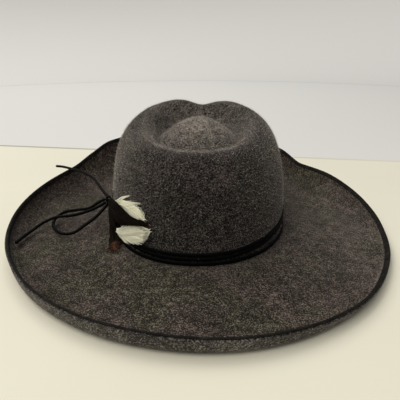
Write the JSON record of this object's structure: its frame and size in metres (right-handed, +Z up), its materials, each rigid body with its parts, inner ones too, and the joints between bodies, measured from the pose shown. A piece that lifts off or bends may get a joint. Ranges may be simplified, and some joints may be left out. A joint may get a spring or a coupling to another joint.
{
  "type": "wool felt hat",
  "caption": "Wide-brimmed wool felt hat with a telescope crown, bound upturned brim, wound lace band, side bow and feathers.",
  "frame": {"origin": "on the plane the brim rests on, under the middle of the hat's outline, on the crown's axis", "axes": "+Z up out of the crown; +Y to the front of the hat, where the brim is turned up highest; -X to the wearer's left, where the bow is"},
  "size_m": [0.3816, 0.4014, 0.1226],
  "materials": {
    "felt": "matte heathered charcoal wool felt",
    "binding": "dark woven ribbon",
    "lace": "dull black lace",
    "feather": "soft barbed feather, dark brown and white"
  },
  "bodies": {
    "root": {"felt_body": "felt", "brim_binding": "binding", "band_lace_upper": "lace", "band_lace_middle": "lace", "band_lace_lower": "lace", "bow_knot": "lace", "lace_tail_upper": "lace", "lace_tail_lower": "lace", "bow_loop": "lace", "feather_spray": "feather"}
  },
  "joints": []
}
